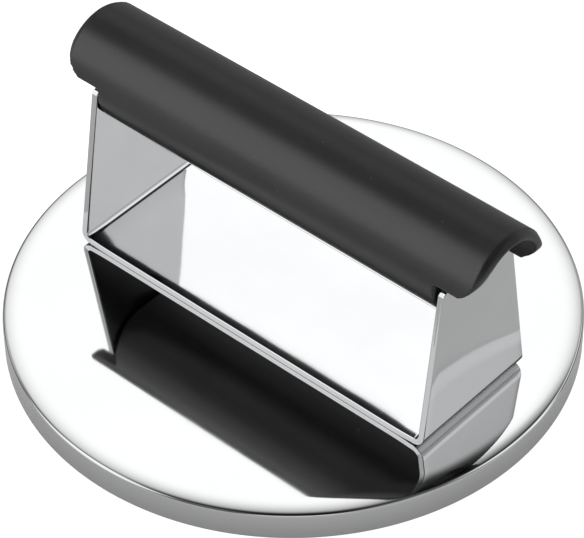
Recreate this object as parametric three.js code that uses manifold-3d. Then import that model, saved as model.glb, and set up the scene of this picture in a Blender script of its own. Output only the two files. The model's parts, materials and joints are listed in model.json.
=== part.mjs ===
// A round patty press: a solid steel plate, a bent strip bracket standing on it, and a soft grip.
// Millimetres. X runs along the grip, Y across it and Z up. The origin is the centre of the underside.
import * as THREE from "three";
import { mergeVertices } from "three/addons/utils/BufferGeometryUtils.js";
import Module from "manifold-3d";

// Press plate
const PLATE_RADIUS = 76;
const PLATE_THICKNESS = 9;
const PLATE_FLAT_RADIUS = 70.4;
const PLATE_SHOULDER_RADIUS = 0.95;
const PLATE_SHOULDER_DROP = 0.36;
const PLATE_FOOT_RADIUS = 0.6;

// Handle bracket, bent from one strip whose two ends meet inside the grip
const STRIP_THICKNESS = 2;
const BRACKET_LENGTH = 118;
const BRACKET_TOP = 61.5;
const LEG_LEAN = 0.5;
const BASE_WIDTH = 40;
const LEG_TOP_WIDTH = 26.5;
const LEG_TOP = 56.6;
const BAR_WIDTH = 22.4;
const BAR_NECK_HEIGHT = 0.8;
const BEND_RADIUS = 3;
const SEAM_GAP = 0.4;

// The bracket is welded on, and the grip fitted to it, a little off the plate's centre along X.
const HANDLE_OFFSET = 1.5;

// Grip sleeve
const GRIP_RADIUS = 14;
const GRIP_LENGTH = 136.6;
const GRIP_AXIS_HEIGHT = 57.7;
const GRIP_WALL = 3;
const GRIP_END_ROUNDING_LENGTH = 2.8;
const GRIP_MOUTH_ROUNDING_LENGTH = 1.4;
const GRIP_MOUTH_ROUNDING_DEPTH = 1.2;
const GRIP_UNDERSIDE_ROUNDING = 2;
const GRIP_UNDERSIDE_GAP = 0.6;
const HOOD_FRONT_LIP_HEIGHT = 59.1;
const HOOD_BACK_LIP_HEIGHT = 55.2;
const FIT_GAP = 0.3;

// The cut at each hood's lower corner: distance in from the grip's end, and rise above the lip
const HOOD_CORNER = [
  [5.2, 0],
  [2.8, 2.2],
  [0.9, 5],
  [0, 8.5],
];

// Facets
const PLATE_FACETS = 128;
const GRIP_FACETS = 64;
const ARC_STEPS = 8;

const wasm = await Module();
wasm.setup();

// Booleans on closed geometries.
function toSolid(geometry) {
  const bare = geometry.index ? geometry.toNonIndexed() : geometry.clone();
  bare.deleteAttribute("normal");
  bare.deleteAttribute("uv");
  const merged = mergeVertices(bare, 1e-4);
  return new wasm.Manifold(
    new wasm.Mesh({
      numProp: 3,
      vertProperties: new Float32Array(merged.attributes.position.array),
      triVerts: new Uint32Array(merged.index.array),
    }),
  );
}

function toGeometry(solid) {
  const mesh = solid.getMesh();
  const indexed = new THREE.BufferGeometry();
  indexed.setAttribute("position", new THREE.BufferAttribute(mesh.vertProperties, 3));
  indexed.setIndex(new THREE.BufferAttribute(mesh.triVerts, 1));
  const flat = indexed.toNonIndexed();
  flat.computeVertexNormals();
  return flat;
}

// Points of an ellipse's arc from one angle to another, both ends included.
function ellipseArc(centreA, centreB, radiusA, radiusB, fromAngle, toAngle, steps = ARC_STEPS) {
  return Array.from({ length: steps + 1 }, (_, i) => {
    const angle = fromAngle + ((toAngle - fromAngle) * i) / steps;
    return new THREE.Vector2(
      centreA + radiusA * Math.cos(angle),
      centreB + radiusB * Math.sin(angle),
    );
  });
}

function arc(centreA, centreB, radius, fromAngle, toAngle, steps = ARC_STEPS) {
  return ellipseArc(centreA, centreB, radius, radius, fromAngle, toAngle, steps);
}

// A flat outline in X and Z, pulled along Y from one value to another.
function extrudeAlongY(points, fromY, toY) {
  const geometry = new THREE.ExtrudeGeometry(new THREE.Shape(points), {
    depth: toY - fromY,
    bevelEnabled: false,
  });
  geometry.rotateX(Math.PI / 2);
  geometry.translate(0, toY, 0);
  return geometry;
}

// A flat outline in Y and Z, pulled along X about the origin.
function extrudeAlongX(points, length) {
  const geometry = new THREE.ExtrudeGeometry(new THREE.Shape(points), {
    depth: length,
    bevelEnabled: false,
  });
  geometry.translate(0, 0, -length / 2);
  geometry.rotateY(Math.PI / 2);
  geometry.rotateX(Math.PI / 2);
  return geometry;
}

// A profile of (radius, distance) points, turned about the X axis at the grip's height.
function turnAboutGripAxis(profile) {
  const geometry = new THREE.LatheGeometry(profile, GRIP_FACETS);
  geometry.rotateZ(-Math.PI / 2);
  geometry.rotateX(Math.PI / GRIP_FACETS);
  geometry.translate(0, 0, GRIP_AXIS_HEIGHT);
  return geometry;
}

function box(fromX, toX, fromY, toY, fromZ, toZ) {
  const geometry = new THREE.BoxGeometry(toX - fromX, toY - fromY, toZ - fromZ);
  geometry.translate((fromX + toX) / 2, (fromY + toY) / 2, (fromZ + toZ) / 2);
  return geometry;
}

// The plate: flat on both faces, its top falling away a little before a rounded shoulder.
function pressPlate() {
  const shoulderTop = PLATE_THICKNESS - PLATE_SHOULDER_DROP;
  const shoulderStart = PLATE_RADIUS - PLATE_SHOULDER_RADIUS;
  const profile = [
    new THREE.Vector2(0, 0),
    ...arc(
      PLATE_RADIUS - PLATE_FOOT_RADIUS,
      PLATE_FOOT_RADIUS,
      PLATE_FOOT_RADIUS,
      -Math.PI / 2,
      0,
      4,
    ),
    ...arc(
      shoulderStart,
      shoulderTop - PLATE_SHOULDER_RADIUS,
      PLATE_SHOULDER_RADIUS,
      0,
      Math.PI / 2,
    ),
    new THREE.Vector2(
      (shoulderStart + PLATE_FLAT_RADIUS) / 2,
      PLATE_THICKNESS - PLATE_SHOULDER_DROP / 4,
    ),
    new THREE.Vector2(PLATE_FLAT_RADIUS, PLATE_THICKNESS),
    new THREE.Vector2(0, PLATE_THICKNESS),
  ];
  const geometry = new THREE.LatheGeometry(profile, PLATE_FACETS);
  geometry.rotateX(Math.PI / 2);
  return geometry;
}

// A rectangle in X and Z with rounded corners, its top shorter at each end by the lean.
function roundedRectangle(halfLength, fromZ, toZ, radius, lean = 0) {
  const halfTop = halfLength - lean;
  return [
    ...arc(halfLength - radius, fromZ + radius, radius, -Math.PI / 2, 0),
    ...arc(halfTop - radius, toZ - radius, radius, 0, Math.PI / 2),
    ...arc(-halfTop + radius, toZ - radius, radius, Math.PI / 2, Math.PI),
    ...arc(-halfLength + radius, fromZ + radius, radius, Math.PI, 1.5 * Math.PI),
  ];
}

// The strip's outline from the end: level sides at the base, tapered legs, then a neck in to the bar.
function bracketTaper(margin) {
  const foot = PLATE_THICKNESS + STRIP_THICKNESS;
  const wide = BASE_WIDTH / 2 + margin;
  const shoulder = LEG_TOP_WIDTH / 2 + margin;
  const narrow = BAR_WIDTH / 2 + margin;
  const neck = LEG_TOP + BAR_NECK_HEIGHT + margin;
  const side = [
    new THREE.Vector2(wide, PLATE_THICKNESS),
    new THREE.Vector2(wide, foot),
    new THREE.Vector2(shoulder, LEG_TOP + margin),
    new THREE.Vector2(narrow, neck),
    new THREE.Vector2(narrow, BRACKET_TOP + margin),
  ];
  const other = side.map((p) => new THREE.Vector2(-p.x, p.y)).reverse();
  return [...side, ...other];
}

// The bracket: a closed loop of strip with tapered legs and a butt seam in the middle of its bar.
function handleBracket() {
  const innerLength = BRACKET_LENGTH / 2 - STRIP_THICKNESS;
  const outer = extrudeAlongY(
    roundedRectangle(BRACKET_LENGTH / 2, PLATE_THICKNESS, BRACKET_TOP, BEND_RADIUS, LEG_LEAN),
    -BASE_WIDTH / 2,
    BASE_WIDTH / 2,
  );
  const inner = extrudeAlongY(
    roundedRectangle(
      innerLength,
      PLATE_THICKNESS + STRIP_THICKNESS,
      BRACKET_TOP - STRIP_THICKNESS,
      BEND_RADIUS - STRIP_THICKNESS,
      LEG_LEAN,
    ),
    -BASE_WIDTH,
    BASE_WIDTH,
  );
  const seam = box(
    -SEAM_GAP / 2,
    SEAM_GAP / 2,
    -BASE_WIDTH,
    BASE_WIDTH,
    BRACKET_TOP - 2 * STRIP_THICKNESS,
    BRACKET_TOP + STRIP_THICKNESS,
  );
  return toGeometry(
    toSolid(outer)
      .intersect(toSolid(extrudeAlongX(bracketTaper(0), 2 * BRACKET_LENGTH)))
      .subtract(toSolid(inner))
      .subtract(toSolid(seam)),
  );
}

// The grip from the side: a full round between the legs, and a hood past each leg down to its lip.
function gripSideOutline(lipHeight) {
  const bottom = GRIP_AXIS_HEIGHT - GRIP_RADIUS - 1;
  const top = GRIP_AXIS_HEIGHT + GRIP_RADIUS + 1;
  const underside = BRACKET_LENGTH / 2 - LEG_LEAN - STRIP_THICKNESS - GRIP_UNDERSIDE_GAP;
  const rounded = GRIP_UNDERSIDE_ROUNDING;
  const end = GRIP_LENGTH / 2;
  const corner = HOOD_CORNER.map(([inset, rise]) => new THREE.Vector2(end - inset, lipHeight + rise));
  const right = [
    new THREE.Vector2(underside - rounded, bottom),
    ...arc(underside - rounded, bottom + 1 + rounded, rounded, -Math.PI / 2, 0),
    new THREE.Vector2(underside, lipHeight),
    ...new THREE.SplineCurve(corner).getPoints(ARC_STEPS),
    new THREE.Vector2(end, top),
  ];
  const left = right.map((p) => new THREE.Vector2(-p.x, p.y)).reverse();
  return [...right, ...left];
}

// The sleeve's turned outside, with both ends rounded over.
function gripOutside() {
  const end = GRIP_LENGTH / 2;
  const length = GRIP_END_ROUNDING_LENGTH;
  const depth = GRIP_WALL - GRIP_MOUTH_ROUNDING_DEPTH;
  const middle = GRIP_RADIUS - depth;
  return turnAboutGripAxis([
    new THREE.Vector2(0, -end),
    ...ellipseArc(middle, -end + length, depth, length, -Math.PI / 2, 0),
    ...ellipseArc(middle, end - length, depth, length, 0, Math.PI / 2),
    new THREE.Vector2(0, end),
  ]);
}

// The hollow under one hood, from the leg's outer face out through the end, its mouth rounded.
function hoodHollow(side) {
  const start = BRACKET_LENGTH / 2 + FIT_GAP;
  const end = GRIP_LENGTH / 2;
  const radius = GRIP_RADIUS - GRIP_WALL;
  const length = GRIP_MOUTH_ROUNDING_LENGTH;
  const depth = GRIP_MOUTH_ROUNDING_DEPTH;
  const profile = [
    new THREE.Vector2(0, start),
    new THREE.Vector2(radius, start),
    ...ellipseArc(radius + depth, end - length, depth, length, Math.PI, Math.PI / 2),
    new THREE.Vector2(radius + depth, end + 1),
    new THREE.Vector2(0, end + 1),
  ];
  const hollow = turnAboutGripAxis(profile);
  return side > 0 ? hollow : hollow.rotateZ(Math.PI);
}

// Room for the bar, its bends and the leg tops inside the sleeve.
function barRoom() {
  const length = BRACKET_LENGTH / 2 + FIT_GAP;
  const inner = BRACKET_LENGTH / 2 - LEG_LEAN - STRIP_THICKNESS - FIT_GAP;
  const outline = extrudeAlongY(
    roundedRectangle(length, GRIP_AXIS_HEIGHT - 2 * GRIP_RADIUS, BRACKET_TOP + FIT_GAP, BEND_RADIUS),
    -BASE_WIDTH,
    BASE_WIDTH,
  );
  const underBar = box(
    -inner,
    inner,
    -BASE_WIDTH,
    BASE_WIDTH,
    0,
    BRACKET_TOP - STRIP_THICKNESS - FIT_GAP,
  );
  return toSolid(outline)
    .subtract(toSolid(underBar))
    .intersect(toSolid(extrudeAlongX(bracketTaper(FIT_GAP), 2 * BRACKET_LENGTH)));
}

// The sleeve: round between the legs, hooded past them, slotted for the bar.
function gripSleeve() {
  const front = extrudeAlongY(gripSideOutline(HOOD_FRONT_LIP_HEIGHT), -GRIP_RADIUS - 1, 0);
  const back = extrudeAlongY(gripSideOutline(HOOD_BACK_LIP_HEIGHT), 0, GRIP_RADIUS + 1);
  return toGeometry(
    toSolid(gripOutside())
      .intersect(toSolid(front).add(toSolid(back)))
      .subtract(toSolid(hoodHollow(1)))
      .subtract(toSolid(hoodHollow(-1)))
      .subtract(barRoom()),
  );
}

function polishedSteel() {
  return new THREE.MeshStandardMaterial({ color: 0xd9dbdd, roughness: 0.06, metalness: 1 });
}

function polishedStrip() {
  return new THREE.MeshStandardMaterial({ color: 0xc6c8ca, roughness: 0.12, metalness: 1 });
}

function matteSilicone() {
  return new THREE.MeshStandardMaterial({ color: 0x17181a, roughness: 0.62, metalness: 0 });
}

function addPiece(group, name, geometry, material) {
  const mesh = new THREE.Mesh(geometry, material);
  mesh.name = name;
  group.add(mesh);
}

const handle = new THREE.Group();
handle.name = "handle";
handle.position.x = HANDLE_OFFSET;
addPiece(handle, "handle_bracket", handleBracket(), polishedStrip());
addPiece(handle, "grip_sleeve", gripSleeve(), matteSilicone());

const press = new THREE.Group();
press.name = "patty_press";
addPiece(press, "press_plate", pressPlate(), polishedSteel());
press.add(handle);

export default press;
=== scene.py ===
import json
import math

import bpy
import numpy as np
from mathutils import Matrix, Vector

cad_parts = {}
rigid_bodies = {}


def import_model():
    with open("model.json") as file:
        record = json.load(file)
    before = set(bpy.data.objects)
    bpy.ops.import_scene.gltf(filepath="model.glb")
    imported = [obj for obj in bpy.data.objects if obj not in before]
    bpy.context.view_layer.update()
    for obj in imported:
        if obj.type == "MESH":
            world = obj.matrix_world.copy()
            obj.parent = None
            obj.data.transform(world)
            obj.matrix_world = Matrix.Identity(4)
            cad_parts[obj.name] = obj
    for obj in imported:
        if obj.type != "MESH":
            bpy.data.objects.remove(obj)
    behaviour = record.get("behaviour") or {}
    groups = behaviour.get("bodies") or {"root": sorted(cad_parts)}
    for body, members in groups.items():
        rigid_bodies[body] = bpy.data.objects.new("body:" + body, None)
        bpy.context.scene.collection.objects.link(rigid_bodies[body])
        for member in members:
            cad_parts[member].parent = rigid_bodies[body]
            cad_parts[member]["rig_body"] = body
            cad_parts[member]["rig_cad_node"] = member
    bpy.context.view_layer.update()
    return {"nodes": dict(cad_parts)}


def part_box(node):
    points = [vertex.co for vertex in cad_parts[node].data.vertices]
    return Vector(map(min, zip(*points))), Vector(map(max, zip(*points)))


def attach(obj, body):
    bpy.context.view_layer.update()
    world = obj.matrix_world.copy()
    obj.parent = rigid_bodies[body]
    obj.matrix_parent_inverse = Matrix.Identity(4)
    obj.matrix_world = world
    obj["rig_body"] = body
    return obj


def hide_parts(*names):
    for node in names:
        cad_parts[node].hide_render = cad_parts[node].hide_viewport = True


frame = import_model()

MM = 0.001
_, PLATE_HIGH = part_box("press_plate")
STRIP_LOW, STRIP_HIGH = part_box("handle_bracket")
_, GRIP_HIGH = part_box("grip_sleeve")

# Camera: angles in degrees, its distance and the point it looks at in metres, the lens in mm
CAMERA_AZIMUTH = 41.703
CAMERA_ELEVATION = 43.232
CAMERA_ROLL = -0.543
CAMERA_DISTANCE = 0.79883
CAMERA_TARGET = Vector((-0.006675, 0.007115, 0.010374))
CAMERA_LENS = 186.8
CAMERA_SENSOR = 36.0
CAMERA_CLIP = (0.05, 30.0)

# Plate, in millimetres: a flat top, a slow roll-off, a rounded shoulder, a side and a rounded foot
PLATE_RADIUS = PLATE_HIGH.x / MM
PLATE_THICKNESS = PLATE_HIGH.z / MM
PLATE_FLAT_RADIUS = 70.4
PLATE_ROLL_SLOPE = 0.15
PLATE_ROLL_POINTS = 14
PLATE_SHOULDER_RADIUS = 0.95
PLATE_SHOULDER_STEPS = 14
PLATE_FOOT_RADIUS = 0.6
PLATE_FOOT_STEPS = 6
PLATE_GUARD = 0.12
PLATE_FOOT_GUARD = 0.15
PLATE_TOP_GUARD = 0.3
PLATE_SIDE_RING = 3.0
PLATE_UNDERSIDE_RINGS = (20.0, 50.0, 70.0)
PLATE_TOP_RINGS = (60.0, 45.0, 30.0, 15.0)
PLATE_SEGMENTS = 288

# Strip bracket, in millimetres, lengths along X about its own middle
STRIP_MIDDLE = (STRIP_LOW.x + STRIP_HIGH.x) / 2 / MM
STRIP_HALF_LENGTH = (STRIP_HIGH.x - STRIP_LOW.x) / 2 / MM
STRIP_HALF_WIDE = STRIP_HIGH.y / MM
STRIP_FOOT = STRIP_LOW.z / MM
STRIP_TOP = STRIP_HIGH.z / MM
STRIP_THICKNESS = 2.0
STRIP_FOOT_BEND = 3.5
STRIP_TOP_BEND = 3.0
STRIP_BEND_POINTS = 13
STRIP_LEAN = 0.5
SEAM_GAP = 0.4

# Its legs: (height, half width) where the taper ends and where the corner under the bar ends
STRIP_LEG_TOP = (56.0, 13.33)
STRIP_NECK = (57.4, 11.2)
STRIP_CORNER_POWER = 1.3
STRIP_LEG_LEVELS = (
    58.3, 57.4, 57.39, 57.34, 57.22, 57.05, 56.8, 56.5, 56.0, 55.7,
    52, 47, 42, 37, 32, 27, 22, 18, 15, 13,
)

# Its section: eased edges, faces buffed down towards them, and fine grooves along the edge face
STRIP_INNER_EDGE = 0.35
STRIP_OUTER_EDGE = 0.2
STRIP_EDGE_POINTS = 6
STRIP_EDGE_GUARD = 0.06
STRIP_BUFF_WIDTH = 2.0
STRIP_BUFF_DROP = 0.045
STRIP_BUFF_START = 0.3
STRIP_BUFF_END = 0.08
STRIP_GROOVE = 0.016
STRIP_GROOVE_AT = (0.3, 0.35, 0.4, 0.56, 0.61, 0.66)

# Its base: both ends rise a little off the plate, and the inner face is slightly uneven
STRIP_LIFT = 0.28
STRIP_LIFT_FROM = 50.5
STRIP_LIFT_RUN = 5.5
STRIP_LIFT_FADE_FROM = 2
STRIP_LIFT_FADE = 6
STRIP_WAVE = 0.05
STRIP_WAVE_RATE = 0.31
STRIP_WAVE_PHASE = 0.4
STRIP_WAVE_SHARE = 0.4
STRIP_WAVE_TOP = 18
STRIP_WAVE_FADE = 4

# Grip sleeve, in millimetres
GRIP_RADIUS = 14.0
GRIP_BORE = 11.0
GRIP_AXIS = GRIP_HIGH.z / MM - GRIP_RADIUS
GRIP_VOXEL = 0.4
GRIP_EASE_FACTOR = 0.5
GRIP_EASE_TIMES = 5
# (radius, reach): points this near to a true cylinder are drawn back onto it
GRIP_CYLINDERS = ((GRIP_RADIUS, 0.16), (GRIP_BORE, 0.12))

# Floor: half its side in metres, its cuts, and the width of the painted shadow round the plate in
# mm
FLOOR_HALF_SIDE = 6.0
FLOOR_CUTS = 24
FLOOR_PAINTED_SHADOW_WIDTH = 9.0

# The span that a noise texture's value covers, apart from rare extremes
NOISE_SPAN = (0.3, 0.7)


# ---------------------------------------------------------------- meshes
def mesh_object(name, vertices, faces):
    mesh = bpy.data.meshes.new(name)
    mesh.from_pydata([tuple(v) for v in np.asarray(vertices) * MM], [], faces)
    mesh.validate()
    mesh.update()
    mesh.shade_smooth()
    made = bpy.data.objects.new(name, mesh)
    bpy.context.scene.collection.objects.link(made)
    return made


def arc(centre, radius, start, end, steps):
    """Points of an arc, both ends included, angles in degrees."""
    angles = np.radians(np.linspace(start, end, steps + 1))
    return [(centre[0] + radius * math.cos(a), centre[1] + radius * math.sin(a)) for a in angles]


def plate_profile():
    """(radius, height) points from the middle of the underside round to the middle of the top."""
    roll_angle = math.degrees(math.atan(PLATE_ROLL_SLOPE))
    shoulder_x = PLATE_RADIUS - PLATE_SHOULDER_RADIUS
    meet_x = shoulder_x + PLATE_SHOULDER_RADIUS * math.sin(math.radians(roll_angle))
    roll_width = meet_x - PLATE_FLAT_RADIUS
    meet_z = PLATE_THICKNESS - PLATE_ROLL_SLOPE * roll_width / 2
    shoulder_z = meet_z - PLATE_SHOULDER_RADIUS * math.cos(math.radians(roll_angle))
    foot = PLATE_FOOT_RADIUS
    foot_ring = PLATE_RADIUS - foot - PLATE_FOOT_GUARD
    points = [(r, 0.0) for r in (*PLATE_UNDERSIDE_RINGS, foot_ring)]
    points += arc((PLATE_RADIUS - foot, foot), foot, -90, 0, PLATE_FOOT_STEPS)
    for z in (foot + PLATE_GUARD, PLATE_SIDE_RING, shoulder_z - PLATE_GUARD):
        points.append((PLATE_RADIUS, z))
    shoulder = (shoulder_x, shoulder_z)
    points += arc(shoulder, PLATE_SHOULDER_RADIUS, 0, 90 - roll_angle, PLATE_SHOULDER_STEPS)
    for share in np.linspace(1, 0, PLATE_ROLL_POINTS)[1:]:
        drop = PLATE_ROLL_SLOPE * roll_width * share**2 / 2
        points.append((PLATE_FLAT_RADIUS + roll_width * share, PLATE_THICKNESS - drop))
    flat_ring = PLATE_FLAT_RADIUS - PLATE_TOP_GUARD
    return points + [(r, PLATE_THICKNESS) for r in (flat_ring, *PLATE_TOP_RINGS)]


def build_plate():
    """The profile turned round the Z axis, closed by a point in the middle of each face."""
    profile = plate_profile()
    turn = np.arange(PLATE_SEGMENTS) * 2 * math.pi / PLATE_SEGMENTS
    rings = [
        np.stack([r * np.cos(turn), r * np.sin(turn), np.full_like(turn, z)], 1)
        for r, z in profile
    ]
    vertices = np.concatenate(rings + [[(0, 0, 0), (0, 0, PLATE_THICKNESS)]])
    low = len(profile) * PLATE_SEGMENTS
    high, last = low + 1, low - PLATE_SEGMENTS
    faces = []
    for i in range(PLATE_SEGMENTS):
        j = (i + 1) % PLATE_SEGMENTS
        for a in range(0, last, PLATE_SEGMENTS):
            b = a + PLATE_SEGMENTS
            faces.append((a + i, a + j, b + j, b + i))
        faces.append((low, j, i))
        faces.append((high, last + i, last + j))
    return mesh_object("plate", vertices, faces)


def strip_path():
    """Pairs of (outer, inner) points in X and Z along the strip, from seam round to seam."""
    half, thick, foot, top = STRIP_HALF_LENGTH, STRIP_THICKNESS, STRIP_FOOT, STRIP_TOP
    half_top = half - STRIP_LEAN
    pairs = []

    def straight(start, end, normal, cuts):
        for t in cuts:
            x, z = start[0] + (end[0] - start[0]) * t, start[1] + (end[1] - start[1]) * t
            pairs.append(((x, z), (x - normal[0] * thick, z - normal[1] * thick)))

    def corner(centre, bend, start, end):
        for a in np.radians(np.linspace(start, end, STRIP_BEND_POINTS)):
            c, s = math.cos(a), math.sin(a)
            outer = (centre[0] + bend * c, centre[1] + bend * s)
            inner = (centre[0] + (bend - thick) * c, centre[1] + (bend - thick) * s)
            pairs.append((outer, inner))

    high, low = STRIP_TOP_BEND, STRIP_FOOT_BEND
    leg_high, leg_low = top - high, foot + low
    down = [(leg_high - z) / (leg_high - leg_low) for z in STRIP_LEG_LEVELS]
    up = [1 - t for t in reversed(down)]
    from_seam, to_seam = [0, 0.01, 0.25, 0.5, 0.75, 0.98], [0.02, 0.25, 0.5, 0.75, 0.99, 1]
    base = np.concatenate([[0.01, 0.03], np.linspace(0.06, 0.94, 23), [0.97, 0.99]])
    straight((SEAM_GAP / 2, top), (half_top - high, top), (0, 1), from_seam)
    corner((half_top - high, top - high), high, 90, 0)
    straight((half_top, leg_high), (half, leg_low), (1, 0), down)
    corner((half - low, foot + low), low, 0, -90)
    straight((half - low, foot), (-half + low, foot), (0, -1), base)
    corner((-half + low, foot + low), low, -90, -180)
    straight((-half, leg_low), (-half_top, leg_high), (-1, 0), up)
    corner((-half_top + high, top - high), high, 180, 90)
    straight((-half_top + high, top), (-SEAM_GAP / 2, top), (0, 1), to_seam)
    return pairs


def strip_half_width(z):
    """Half the strip's width at a height: it tapers up the leg, then rounds in to the bar."""
    (leg_z, leg), (neck_z, neck) = STRIP_LEG_TOP, STRIP_NECK
    start, wide, power = STRIP_FOOT + STRIP_THICKNESS, STRIP_HALF_WIDE, STRIP_CORNER_POWER
    if z <= leg_z:
        return wide + (leg - wide) * max((z - start) / (leg_z - start), 0)
    share = min((z - leg_z) / (neck_z - leg_z), 1)
    return neck + (leg - neck) * (1 - share**power) ** (1 / power)


def smooth_step(t):
    t = min(max(t, 0.0), 1.0)
    return t * t * (3 - 2 * t)


def strip_section(width):
    """(across, depth) points round the strip: across runs along Y, depth from the outer face (0)
    to the inner."""
    thick, buff, drop = STRIP_THICKNESS, STRIP_BUFF_WIDTH, STRIP_BUFF_DROP

    def quarter(edge):
        points = [(0.0, 0.0)]
        inset = (buff, buff * 0.75, buff * 0.5, buff * 0.25)
        for d in (buff + STRIP_BUFF_START, *inset, STRIP_BUFF_END):
            points.append((width - edge - d, drop * (max(buff - d, 0) / buff) ** 2))
        for a in np.radians(np.linspace(0, 90, STRIP_EDGE_POINTS)):
            across, depth = edge * math.sin(a), edge * (1 - math.cos(a))
            points.append((width - edge + across, drop + depth))
        return points + [(width, drop + edge + STRIP_EDGE_GUARD)]

    outer = quarter(STRIP_OUTER_EDGE)
    inner = [(v, thick - u) for v, u in reversed(quarter(STRIP_INNER_EDGE))]
    groove = [
        (width - STRIP_GROOVE * (i % 2), thick * share)
        for i, share in enumerate(STRIP_GROOVE_AT)
    ]
    side = outer + groove + inner
    other = [(-v, u) for v, u in reversed(side)]
    return side + other[1:-1]


def build_bracket():
    """The section carried along the path, with its width, its lift and its unevenness."""
    vertices, rings = [], []
    for outer, inner in strip_path():
        o, n = np.array(outer), np.array(inner)
        x, z = (o + n) / 2
        lift = STRIP_LIFT * smooth_step((abs(x) - STRIP_LIFT_FROM) / STRIP_LIFT_RUN)
        lift *= 1 - smooth_step((z - STRIP_FOOT - STRIP_LIFT_FADE_FROM) / STRIP_LIFT_FADE)
        wave = STRIP_WAVE * math.sin(STRIP_WAVE_RATE * x + STRIP_WAVE_PHASE)
        wave *= smooth_step((STRIP_WAVE_TOP - z) / STRIP_WAVE_FADE)
        ring = []
        for across, depth in strip_section(strip_half_width(z)):
            p = o + (n - o) * depth / STRIP_THICKNESS
            rise = lift
            if depth > STRIP_THICKNESS / 2:
                rise += wave * across / STRIP_HALF_WIDE * STRIP_WAVE_SHARE
            ring.append(len(vertices))
            vertices.append((p[0] + STRIP_MIDDLE, across, p[1] + rise))
        rings.append(ring)
    faces = []
    for a, b in zip(rings, rings[1:]):
        for i in range(len(a)):
            j = (i + 1) % len(a)
            faces.append((a[i], a[j], b[j], b[i]))
    faces.append(tuple(reversed(rings[0])))
    faces.append(tuple(rings[-1]))
    return mesh_object("bracket", vertices, faces)


def build_sleeve():
    """The grip's solid, remeshed finely, its edges eased and its round faces drawn back onto
    true cylinders."""
    source = frame["nodes"]["grip_sleeve"]
    made = source.copy()
    made.data = source.data.copy()
    made.name = made.data.name = "sleeve"
    made.parent = None
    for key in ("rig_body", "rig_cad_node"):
        if key in made:
            del made[key]
    made.data.materials.clear()
    bpy.context.scene.collection.objects.link(made)
    remesh = made.modifiers.new("remesh", "REMESH")
    remesh.mode = "VOXEL"
    remesh.voxel_size = GRIP_VOXEL * MM
    ease = made.modifiers.new("ease", "SMOOTH")
    ease.factor = GRIP_EASE_FACTOR
    ease.iterations = GRIP_EASE_TIMES
    bpy.context.view_layer.update()
    dg = bpy.context.evaluated_depsgraph_get()
    mesh = bpy.data.meshes.new_from_object(made.evaluated_get(dg))
    made.modifiers.clear()
    made.data = mesh
    co = np.zeros(len(mesh.vertices) * 3)
    mesh.vertices.foreach_get("co", co)
    co = co.reshape(-1, 3) / MM
    away = np.hypot(co[:, 1], co[:, 2] - GRIP_AXIS)
    for radius, reach in GRIP_CYLINDERS:
        near = np.abs(away - radius) < reach
        scale = radius / away[near]
        co[near, 1] *= scale
        co[near, 2] = GRIP_AXIS + (co[near, 2] - GRIP_AXIS) * scale
    mesh.vertices.foreach_set("co", (co * MM).ravel())
    mesh.update()
    mesh.shade_smooth()
    return made


# ---------------------------------------------------------------- materials
class Nodes:
    """A material's node tree, with short calls to add and join nodes."""

    def __init__(self, name):
        self.material = bpy.data.materials.new(name)
        self.material.use_nodes = True
        self.tree = self.material.node_tree
        self.shader = self.tree.nodes["Principled BSDF"]
        self.place = self.add("ShaderNodeTexCoord").outputs["Object"]

    def add(self, kind, **values):
        node = self.tree.nodes.new(kind)
        for key, value in values.items():
            setattr(node, key, value)
        return node

    def join(self, out, into):
        self.tree.links.new(out, into)

    def mapped(self, scale, turn):
        node = self.add("ShaderNodeMapping")
        node.inputs["Scale"].default_value = scale
        node.inputs["Rotation"].default_value = turn
        self.join(self.place, node.inputs["Vector"])
        return node.outputs["Vector"]

    def noise(self, scale, detail, rough, where=None):
        node = self.add("ShaderNodeTexNoise")
        node.inputs["Scale"].default_value = scale
        node.inputs["Detail"].default_value = detail
        node.inputs["Roughness"].default_value = rough
        self.join(where or self.place, node.inputs["Vector"])
        return node.outputs["Fac"]

    def remap(self, value, span, onto):
        """Carries one span (low, high) of a value onto another, and stops at its ends."""
        node = self.add("ShaderNodeMapRange")
        for key, number in zip(("From Min", "From Max", "To Min", "To Max"), (*span, *onto)):
            node.inputs[key].default_value = number
        self.join(value, node.inputs["Value"])
        return node.outputs["Result"]

    def math(self, operation, a, b):
        node = self.add("ShaderNodeMath", operation=operation)
        for socket, value in zip(node.inputs, (a, b)):
            if isinstance(value, (int, float)):
                socket.default_value = value
            else:
                self.join(value, socket)
        return node.outputs[0]

    def tint(self, share, dark, light):
        node = self.add("ShaderNodeMix", data_type="RGBA")
        node.inputs["A"].default_value = (*dark, 1)
        node.inputs["B"].default_value = (*light, 1)
        self.join(share, node.inputs["Factor"])
        return node.outputs["Result"]

    def bump(self, height, strength, distance):
        node = self.add("ShaderNodeBump")
        node.inputs["Strength"].default_value = strength
        node.inputs["Distance"].default_value = distance
        self.join(height, node.inputs["Height"])
        self.join(node.outputs["Normal"], self.shader.inputs["Normal"])

    def put(self, **values):
        for key, value in values.items():
            socket = self.shader.inputs[key.replace("_", " ")]
            if isinstance(value, (int, float)):
                socket.default_value = value
            else:
                self.join(value, socket)


def scratches(n, scale, turn, thin):
    """Fine straight hairlines along one direction: 1 on a hairline, 0 elsewhere."""
    stretch, soft = 0.02, 0.02
    where = n.mapped((scale, scale * stretch, scale), (0, 0, turn))
    lines = n.noise(scale=1.0, detail=2.0, rough=0.5, where=where)
    return n.remap(lines, (0.5 + thin, 0.5 + thin + soft), (0.0, 1.0))


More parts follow.
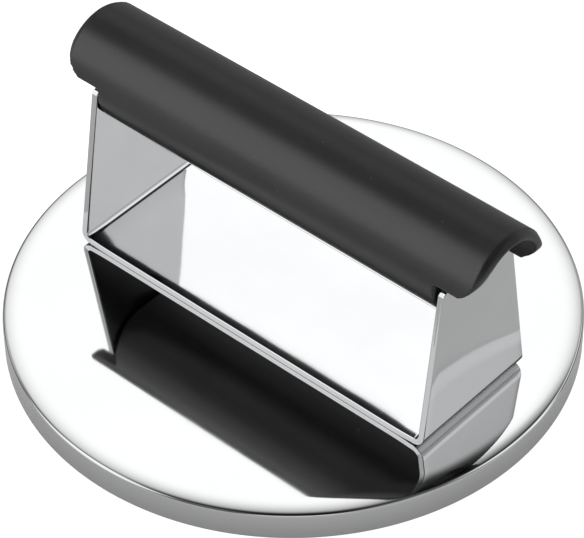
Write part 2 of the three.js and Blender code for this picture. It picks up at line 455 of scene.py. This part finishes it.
def polished_steel(name, dark, light, smooth, worn, ripple):
    """Steel with cloudy smears of roughness and colour, hairlines, fine grain, a slow ripple."""
    hair_rough, hair_depth, grain_depth = 0.06, 0.03, 0.02
    n = Nodes(name)
    cloud = n.noise(scale=26.0, detail=5.0, rough=0.6)
    grain = n.noise(scale=900.0, detail=3.0, rough=0.6)
    one, two = scratches(n, 2600.0, 0.5, thin=0.27), scratches(n, 2200.0, 2.1, thin=0.28)
    hair = n.math("MAXIMUM", one, two)
    hair = n.math("MAXIMUM", hair, scratches(n, 2400.0, 1.35, thin=0.29))
    rough = n.remap(cloud, NOISE_SPAN, (smooth, worn))
    rough = n.math("ADD", rough, n.math("MULTIPLY", hair, hair_rough))
    colour = n.tint(n.remap(cloud, NOISE_SPAN, (0.0, 1.0)), dark, light)
    n.put(Base_Color=colour, Roughness=rough, Metallic=1.0)
    slow = n.math("MULTIPLY", n.noise(scale=60.0, detail=2.0, rough=0.4), ripple)
    height = n.math("ADD", slow, n.math("MULTIPLY", grain, grain_depth))
    height = n.math("SUBTRACT", height, n.math("MULTIPLY", hair, hair_depth))
    n.bump(height, strength=1.0, distance=0.00002)
    return n.material


def matte_silicone(name):
    """Matte rubber, smoother and glossier on its front than on its top and back, with dust."""
    n = Nodes(name)
    cloud = n.noise(scale=45.0, detail=4.0, rough=0.6)
    skin = n.noise(scale=2600.0, detail=3.0, rough=0.6)
    speck = n.noise(scale=1500.0, detail=0.0, rough=0.5)
    dust = n.remap(speck, (0.87, 0.885), (0.0, 1.0))
    shade = n.math("ADD", n.remap(cloud, NOISE_SPAN, (0.0, 0.12)), dust)
    colour = n.tint(shade, dark=(0.019, 0.019, 0.02), light=(0.12, 0.12, 0.125))
    place = n.add("ShaderNodeSeparateXYZ")
    n.join(n.place, place.inputs[0])
    # These spans are lengths in metres across the sleeve (Y) and up it (Z)
    handled = n.remap(place.outputs["Y"], (-0.008, 0.002), (0.0, 0.2))
    from_top = n.math("ABSOLUTE", n.math("ADD", place.outputs["Y"], 0.001), 0.0)
    top_sheen = n.remap(from_top, (0.0025, 0.0064), (0.2, 0.5))
    low_sheen = n.remap(place.outputs["Z"], (0.058, 0.0625), (0.26, 0.5))
    fine = n.remap(skin, NOISE_SPAN, (-0.03, 0.03))
    rough = n.math("ADD", n.remap(cloud, NOISE_SPAN, (0.29, 0.33)), fine)
    rough = n.math("ADD", rough, handled)
    n.put(Base_Color=colour, Roughness=rough, Metallic=0.0)
    n.put(IOR=1.6, Specular_IOR_Level=n.math("MINIMUM", top_sheen, low_sheen))
    pebbles = n.math("MULTIPLY", n.noise(scale=700.0, detail=3.0, rough=0.55), 1.2)
    n.bump(n.math("ADD", skin, pebbles), strength=0.55, distance=0.00003)
    return n.material


def plain_floor(name, shade, glow, glow_left_in_painted_shadow):
    """A pale sheet that glows a little; round the plate its glow fades into a painted shadow,
    which keeps only a given share of the glow where it meets the plate."""
    lighter = shade + 0.02
    n = Nodes(name)
    paper = n.noise(scale=6.0, detail=4.0, rough=0.5)
    colour = n.tint(paper, dark=(shade, shade, shade), light=(lighter, lighter, lighter))
    away = n.add("ShaderNodeVectorMath", operation="LENGTH")
    n.join(n.place, away.inputs[0])
    near, far = PLATE_RADIUS * MM, (PLATE_RADIUS + FLOOR_PAINTED_SHADOW_WIDTH) * MM
    # Painted shadow: the glow is turned down near the plate's foot, as if the plate shaded the
    # floor there
    strength = n.remap(away.outputs["Value"], (near, far), (glow * glow_left_in_painted_shadow, glow))
    n.put(Base_Color=colour, Roughness=0.9, Specular_IOR_Level=0.1, Emission_Strength=strength)
    n.shader.inputs["Emission Color"].default_value = (1.0, 1.0, 1.0, 1.0)
    n.bump(n.noise(scale=900.0, detail=3.0, rough=0.6), strength=0.1, distance=0.00002)
    return n.material


# ---------------------------------------------------------------- studio
def direction(azimuth, elevation):
    """A unit vector: azimuth 0 points to -Y and 90 to +X, elevation 90 straight up."""
    a, e = math.radians(azimuth), math.radians(elevation)
    return (math.sin(a) * math.cos(e), -math.cos(a) * math.cos(e), math.sin(e))


# Soft patches of light in the studio's surroundings: azimuth, elevation, inner and outer radius
# in degrees, brightness.
BASE_LIGHT = 0.16
LIGHT_PATCHES = (
    (223.0, 44.0, 4.0, 24.0, 1.22),
    (221.0, 22.0, 4.0, 16.0, 0.22),
    (222.0, 46.0, 8.0, 44.0, 0.3),
    (130.0, 36.0, 6.0, 24.0, 1.22),
    (165.0, 33.0, 6.0, 16.0, 0.9),
    (138.0, 13.0, 4.0, 12.0, 1.0),
    (124.0, 6.0, 8.0, 22.0, 0.6),
    (-35.0, 24.0, 16.0, 34.0, 1.35),
    (-52.0, 52.0, 5.0, 15.0, 0.85),
    (42.0, 3.0, 9.0, 22.0, 0.9),
    (80.0, 6.0, 12.0, 34.0, 0.45),
    (182.0, 20.0, 5.0, 15.0, 0.5),
    (-92.0, 26.0, 6.0, 20.0, 0.5),
)
# Soft patches of shade: the last number is the share of light that they take away.
DARK_PATCHES = (
    (35.0, 76.0, 12.0, 34.0, 0.75),
    (-100.0, 4.0, 8.0, 24.0, 0.8),
    (243.0, 3.0, 11.0, 23.0, 0.78),
    (176.0, 58.0, 8.0, 20.0, 0.85),
    (45.0, 46.0, 10.0, 24.0, 0.93),
)


def studio_world():
    """The light by direction: a low base, the light patches added, then the shade taken away."""
    world = bpy.data.worlds.new("studio")
    bpy.context.scene.world = world
    world.use_nodes = True
    tree = world.node_tree
    background = tree.nodes["Background"]
    where = tree.nodes.new("ShaderNodeTexCoord").outputs["Generated"]

    def math_node(operation, a, b):
        node = tree.nodes.new("ShaderNodeMath")
        node.operation = operation
        for socket, value in zip(node.inputs, (a, b)):
            if isinstance(value, (int, float)):
                socket.default_value = value
            else:
                tree.links.new(value, socket)
        return node.outputs[0]

    def patch(azimuth, elevation, inner, outer, amount):
        dot = tree.nodes.new("ShaderNodeVectorMath")
        dot.operation = "DOT_PRODUCT"
        dot.inputs[1].default_value = direction(azimuth, elevation)
        tree.links.new(where, dot.inputs[0])
        spread = tree.nodes.new("ShaderNodeMapRange")
        spread.interpolation_type = "SMOOTHSTEP"
        spread.inputs["From Min"].default_value = math.cos(math.radians(outer))
        spread.inputs["From Max"].default_value = math.cos(math.radians(inner))
        tree.links.new(dot.outputs["Value"], spread.inputs["Value"])
        return math_node("MULTIPLY", spread.outputs["Result"], amount)

    total = BASE_LIGHT
    for light in LIGHT_PATCHES:
        total = math_node("ADD", total, patch(*light))
    for shade in DARK_PATCHES:
        total = math_node("MULTIPLY", total, math_node("SUBTRACT", 1.0, patch(*shade)))
    tree.links.new(total, background.inputs["Strength"])
    background.inputs["Color"].default_value = (1.0, 1.0, 1.0, 1.0)


def build_floor(name, shade, glow, glow_left_in_painted_shadow, seen):
    """A wide sheet under the press, which either the camera sees or the steel reflects."""
    steps = np.linspace(-FLOOR_HALF_SIDE, FLOOR_HALF_SIDE, FLOOR_CUTS + 1)
    vertices = [(x / MM, y / MM, 0.0) for y in steps for x in steps]
    faces = []
    for j in range(FLOOR_CUTS):
        for i in range(FLOOR_CUTS):
            a = j * (FLOOR_CUTS + 1) + i
            faces.append((a, a + 1, a + FLOOR_CUTS + 2, a + FLOOR_CUTS + 1))
    made = mesh_object(name, vertices, faces)
    made.data.materials.append(plain_floor(name + "_paper", shade, glow, glow_left_in_painted_shadow))
    made.visible_camera = seen
    made.visible_diffuse = made.visible_glossy = not seen


def build_camera():
    data = bpy.data.cameras.new("camera")
    data.lens = CAMERA_LENS
    data.sensor_width = CAMERA_SENSOR
    data.clip_start, data.clip_end = CAMERA_CLIP
    camera = bpy.data.objects.new("camera", data)
    bpy.context.scene.collection.objects.link(camera)
    back = Vector(direction(CAMERA_AZIMUTH, CAMERA_ELEVATION))
    turn = (-back).to_track_quat("-Z", "Y").to_matrix().to_4x4()
    roll = Matrix.Rotation(math.radians(CAMERA_ROLL), 4, "Z")
    camera.matrix_world = Matrix.Translation(CAMERA_TARGET + back * CAMERA_DISTANCE) @ turn @ roll
    bpy.context.scene.camera = camera


# ---------------------------------------------------------------- the scene
PIECES = (
    (build_plate, "press_plate", "plate_steel"),
    (build_bracket, "handle_bracket", "strip_steel"),
    (build_sleeve, "grip_sleeve", "grip_silicone"),
)
FINISHES = {
    "plate_steel": polished_steel(
        "plate_mirror", dark=(0.583, 0.586, 0.59), light=(0.60, 0.603, 0.607),
        smooth=0.03, worn=0.055, ripple=0.35,
    ),
    "strip_steel": polished_steel(
        "strip_mirror", dark=(0.56, 0.565, 0.57), light=(0.60, 0.605, 0.61),
        smooth=0.05, worn=0.09, ripple=1.0,
    ),
    "grip_silicone": matte_silicone("grip_black"),
}

build_camera()
build_floor("floor", shade=0.86, glow=0.8, glow_left_in_painted_shadow=1.0, seen=True)
# The floor that the steel reflects is darker and carries a painted shadow round the plate's foot
build_floor("floor_reflected", shade=0.74, glow=0.44, glow_left_in_painted_shadow=0.55, seen=False)
studio_world()
for build, node, finish in PIECES:
    piece = build()
    piece.data.materials.append(FINISHES[finish])
    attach(piece, "root")
    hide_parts(node)

bpy.context.scene.view_settings.view_transform = "Standard"
